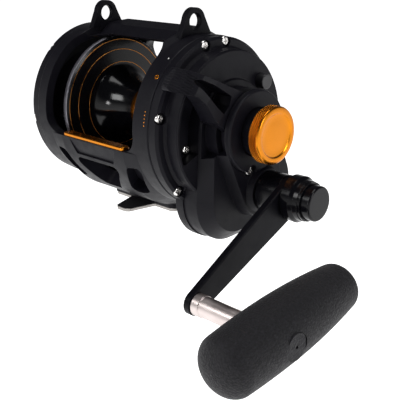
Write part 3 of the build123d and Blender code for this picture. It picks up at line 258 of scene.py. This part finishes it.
look = {
    graphite: "frame left_side_plate right_side_plate gear_housing drag_lever",
    black_anodised: "harness_lug_left harness_lug_right handle_arm preset_collar drag_cam",
    gloss_black: "shaft_collar handle_hub shift_button",
    plastic: "strike_button click_button click_pawl",
    gold: "wear_bar wear_bar_screws preset_knob",
    spool_black: "spool",
    foot_metal: "reel_foot",
    stud_steel: "knob_stud",
    cap_rubber: "grip_cap handle_grip",
    brass: "gear_shaft_bush left_shaft_bush bearing_spacer click_ratchet grip_bushing",
    carbon: "drag_washer",
}
node_look = {node: material for material, names in look.items() for node in names.split()}
for node, obj in nodes.items():
    for material_slot in obj.material_slots:
        material_slot.material = node_look.get(node, steel)


# ---- mesh helpers ---------------------------------------------------------
def piece(name, verts, faces, material, body, crease=35.0):
    """Mesh from points in mm, at the row frame, riding on a body."""
    mesh = bpy.data.meshes.new(name)
    mesh.from_pydata([(x * MM, y * MM, z * MM) for x, y, z in verts], [], faces)
    mesh.materials.append(material)
    mesh.shade_smooth()
    mesh.set_sharp_from_angle(angle=math.radians(crease))
    obj = bpy.data.objects.new(name, mesh)
    scene.collection.objects.link(obj)
    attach(obj, body)
    return obj


def wrap(rows, steps, point, closed=True):
    """Points and faces of a skin round an axis; point(row, step) gives each point."""
    verts = [point(i, j) for i in range(rows) for j in range(steps)]
    last = rows if closed else rows - 1
    faces = []
    for i in range(last):
        for j in range(steps):
            a, b = i * steps, ((i + 1) % rows) * steps
            k = (j + 1) % steps
            faces.append((a + j, a + k, b + k, b + j))
    return verts, faces


def lathe(name, profile, material, body, y=0.0, z=0.0, steps=128, closed=True, radius=None):
    """Surface of revolution about an X axis from (x, r) points; radius(x, r, angle) may shape it."""
    def point(i, j):
        x, r = profile[i]
        angle = 2 * math.pi * j / steps
        if radius:
            r = radius(x, r, angle)
        return (x, y + r * math.cos(angle), AXIS_Z + z + r * math.sin(angle))

    verts, faces = wrap(len(profile), steps, point, closed)
    if not closed:
        faces.append(tuple(range(steps))[::-1])
        faces.append(tuple((len(profile) - 1) * steps + j for j in range(steps)))
    return piece(name, verts, faces, material, body)


# ---- spool: gold lines, arbor band and milled rims ------------------------
FACE_X0, FACE_R0, FACE_X1, FACE_R1 = 33.4, 31.0, 35.2, 47.5
RIM_RIDGES = 252
RIM_R = 49.9


def milled(x, r, angle):
    return r - 0.3 if r == RIM_R and math.cos(angle * RIM_RIDGES) <= 0 else r


for side, sign in (("left", -1), ("right", 1)):
    for index, r in enumerate((30.9, 40.0, 47.2)):
        slope = (FACE_X1 - FACE_X0) / (FACE_R1 - FACE_R0)
        inner_x = FACE_X0 + (r - 0.25 - FACE_R0) * slope
        outer_x = FACE_X0 + (r + 0.25 - FACE_R0) * slope
        line = [(sign * (inner_x - 0.06), r - 0.22), (sign * (outer_x - 0.06), r + 0.22),
                (sign * (outer_x + 0.2), r + 0.22), (sign * (inner_x + 0.2), r - 0.22)]
        lathe("flange_line_%s_%d" % (side, index + 1), line, gold_line, "spool", steps=192)

    rim = [(sign * 35.9, RIM_R - 0.5), (sign * 36.3, RIM_R), (sign * 39.0, RIM_R), (sign * 39.4, RIM_R - 0.5)]
    lathe("flange_rim_" + side, rim, chrome_dark, "spool", steps=RIM_RIDGES * 4, radius=milled)

band = [(-4.25, 16.4), (-4.25, 16.72), (-3.9, 16.8), (3.9, 16.8), (4.25, 16.72), (4.25, 16.4)]
lathe("arbor_band", band, gold_turned, "spool")


# ---- preset knob: diamond knurl, smooth front chamfer, dished face --------
KNURLS = 72
KNURL_R = 18.6
KNURL_ROWS = 3
KNURL_X0, KNURL_X1 = 108.9, 113.9


def knurled(x, r, angle):
    """Radius with two crossing sets of grooves pressed in."""
    if r < KNURL_R or not KNURL_X0 <= x <= KNURL_X1:
        return r
    along = (x - KNURL_X0) / (KNURL_X1 - KNURL_X0) * KNURL_ROWS
    around = angle * KNURLS / (2 * math.pi)
    one, two = (around + along) % 1.0, (around - along) % 1.0
    ridge = min(min(one, 1 - one), min(two, 1 - two)) * 2
    return 17.95 + 0.8 * min(1.0, ridge * 1.5)


knob_profile = [(108.0, 4.0), (108.0, 17.6), (108.3, 18.2), (108.6, 18.25)]
knob_profile += [(KNURL_X0 + (KNURL_X1 - KNURL_X0) * i / 32, KNURL_R) for i in range(33)]
knob_profile += [(114.1, 18.25), (114.4, 18.7), (114.9, 18.75), (115.6, 18.35), (116.0, 17.6),
                 (116.0, 14.6), (115.9, 14.4), (115.35, 13.9), (115.2, 13.4), (115.3, 9.0),
                 (115.35, 4.0), (115.35, 0.02), (109.0, 0.02), (109.0, 4.0)]
knob = lathe("knurled_preset_knob", knob_profile, gold_knurled, "preset",
             steps=KNURLS * 8, radius=knurled)
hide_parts("preset_knob")


# ---- handle hub: milled grip band between two polished lands ---------------
HUB_RIDGES = 96
HUB_BAND_R = 15.28


def hub_milled(x, r, angle):
    return r - 0.22 if r == HUB_BAND_R and math.cos(angle * HUB_RIDGES) > 0 else r


hub_band = [(124.0, 14.9), (124.0, HUB_BAND_R), (129.4, HUB_BAND_R), (129.4, 14.9)]
lathe("hub_band", hub_band, gloss_black, "crank", y=HANDLE_Y, z=HANDLE_Z,
      steps=HUB_RIDGES * 4, radius=hub_milled)

# ---- grip -----------------------------------------------------------------
GRIP_X, GRIP_Y, GRIP_Z, GRIP_TILT = 177.0, -81.3, AXIS_Z - 83.4, math.radians(5.0)
GRIP_BACK, GRIP_FRONT, GRIP_R = 46.5, 69.4, 19.4


def grip_radius(along):
    if along < 0:
        reach, end_r, end_round, power = GRIP_BACK, 17.7, 12.3, 2.0
    else:
        reach, end_r, end_round, power = GRIP_FRONT, 13.9, 7.6, 2.6
    body_r = GRIP_R + (end_r - GRIP_R) * (along / reach) ** 2
    into_end = max(0.0, end_round - (reach - abs(along))) / end_round
    return body_r * max(0.0, 1 - into_end ** power) ** (1 / power)


GRIP_ROWS, GRIP_STEPS = 110, 128
INSET = 0.05  # the skin stays this far inside the CAD solid
grip_middle, grip_span = (GRIP_FRONT - GRIP_BACK) / 2, (GRIP_FRONT + GRIP_BACK) / 2 - INSET


def grip_point(i, j):
    share = -1 + 2 * i / (GRIP_ROWS - 1)
    along = grip_middle + grip_span * math.sin(share * math.pi / 2)
    r = max(INSET, grip_radius(along) - INSET)
    angle = 2 * math.pi * j / GRIP_STEPS
    across, upward = r * math.cos(angle), r * math.sin(angle)
    return (GRIP_X + across, GRIP_Y + along * math.cos(GRIP_TILT) - upward * math.sin(GRIP_TILT),
            GRIP_Z + along * math.sin(GRIP_TILT) + upward * math.cos(GRIP_TILT))


grip_verts, grip_faces = wrap(GRIP_ROWS, GRIP_STEPS, grip_point, closed=False)
grip_faces.append(tuple(range(GRIP_STEPS)))
grip_faces.append(tuple((GRIP_ROWS - 1) * GRIP_STEPS + j for j in range(GRIP_STEPS))[::-1])
grip = piece("foam_grip", grip_verts, grip_faces, grip_rubber, "grip", crease=50.0)
for bore_name, x0, x1, r in (("cap_bore", 187.2, 205.0, 8.25), ("stud_bore", 150.0, 187.1, 8.7)):
    cutter = lathe(bore_name, [(x0, r), (x1, r)], grip_rubber, "grip",
                   y=GRIP_Y, z=GRIP_Z - AXIS_Z, steps=96, closed=False)
    cut = grip.modifiers.new(bore_name, "BOOLEAN")
    cut.operation = "DIFFERENCE"
    cut.solver = "EXACT"
    cut.object = cutter
    with bpy.context.temp_override(object=grip, active_object=grip, selected_objects=[grip]):
        bpy.ops.object.modifier_apply(modifier=bore_name)
    bpy.data.objects.remove(cutter)
grip.data.shade_smooth()
grip.data.set_sharp_from_angle(angle=math.radians(50.0))
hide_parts("handle_grip")


# ---- marks on the right ring ----------------------------------------------
def disc_on_ring(name, x, deg, r_out, r_in, material, height=0.08, radius=58.0):
    """Small flat ring or dot standing on the frame's outside."""
    theta = math.radians(deg)
    out = Vector((0, math.cos(theta), math.sin(theta)))
    along = Vector((0, -math.sin(theta), math.cos(theta)))
    centre = Vector((x, 0, AXIS_Z)) + out * radius
    steps = 32
    profile = [(r_out, -0.4), (r_out, height), (r_in, height), (r_in, -0.4)]

    def point(i, j):
        r, h = profile[i]
        angle = 2 * math.pi * j / steps
        p = centre + out * h + along * (r * math.cos(angle)) + Vector((r * math.sin(angle), 0, 0))
        return tuple(p)

    verts, faces = wrap(len(profile), steps, point)
    return piece(name, verts, faces, material, "frame")


white_paint = finish("white_paint", (0.80, 0.80, 0.78), 0.5, wear=0.0).material
MARK_X = 55.6
disc_on_ring("gold_marker", MARK_X, 139.5, 1.6, 0.8, gold, height=0.18)
disc_on_ring("white_dot", MARK_X, 125.0, 0.55, 0.02, white_paint)
for index in range(5):
    name = "scale_dash_%d" % (index + 1)
    disc_on_ring(name, MARK_X, 162.5 + 2.2 * index, 0.42, 0.02, gold)

# ---- stage ----------------------------------------------------------------
floor_nodes = Nodes("floor_paint")
floor_tone = floor_nodes.noise(3.0, 2.0)
floor_colour = floor_nodes.mix(floor_tone, (0.86, 0.86, 0.86, 1), (0.90, 0.90, 0.90, 1))
floor_nodes.feed(floor_nodes.shader, {"Base Color": floor_colour})
floor_nodes.shader.inputs["Roughness"].default_value = 0.9
floor_nodes.shader.inputs["Emission Color"].default_value = (1, 1, 1, 1)
floor_nodes.shader.inputs["Emission Strength"].default_value = 0.97
floor_mesh = bpy.data.meshes.new("floor")
FLOOR_Z, FLOOR_R = -0.15, 40.0
FLOOR_SIDES = 48
turns = [2 * math.pi * i / FLOOR_SIDES for i in range(FLOOR_SIDES)]
edge = [(FLOOR_R * math.cos(turn), FLOOR_R * math.sin(turn), FLOOR_Z) for turn in turns]
floor_mesh.from_pydata(edge, [], [tuple(range(FLOOR_SIDES))])
floor_mesh.materials.append(floor_nodes.material)
floor = bpy.data.objects.new("floor", floor_mesh)
scene.collection.objects.link(floor)

world = bpy.data.worlds.new("studio")
scene.world = world
world.use_nodes = True
tree = world.node_tree
sky = tree.nodes["Background"]
where = tree.nodes.new("ShaderNodeTexCoord")
height = tree.nodes.new("ShaderNodeSeparateXYZ")
ramp = tree.nodes.new("ShaderNodeValToRGB")
ramp.color_ramp.elements[0].position = 0.02
ramp.color_ramp.elements[0].color = (1, 1, 1, 1)
ramp.color_ramp.elements[1].position = 0.30
ramp.color_ramp.elements[1].color = (0.07, 0.07, 0.075, 1)
tree.links.new(where.outputs["Generated"], height.inputs[0])
tree.links.new(height.outputs[2], ramp.inputs[0])
tree.links.new(ramp.outputs[0], sky.inputs["Color"])
sky.inputs["Strength"].default_value = 1.0


def softbox(name, place, aim, size, power):
    light = bpy.data.lights.new(name, "AREA")
    light.shape = "RECTANGLE"
    light.size, light.size_y = size
    light.energy = power
    obj = bpy.data.objects.new(name, light)
    obj.location = place
    obj.rotation_euler = (Vector(aim) - Vector(place)).to_track_quat("-Z", "Y").to_euler()
    scene.collection.objects.link(obj)


softbox("key", (-0.35, -0.95, 0.75), (0.05, 0, 0.05), (0.5, 0.4), 6)
softbox("top", (0.1, 0.1, 1.1), (0.08, 0, 0.05), (0.8, 0.5), 5)
softbox("grip_end", (0.02, -0.80, 0.20), (0.177, -0.12, -0.01), (0.12, 0.12), 0.9)
softbox("right", (1.15, 0.1, 0.45), (0.08, 0, 0.03), (0.25, 0.6), 4)
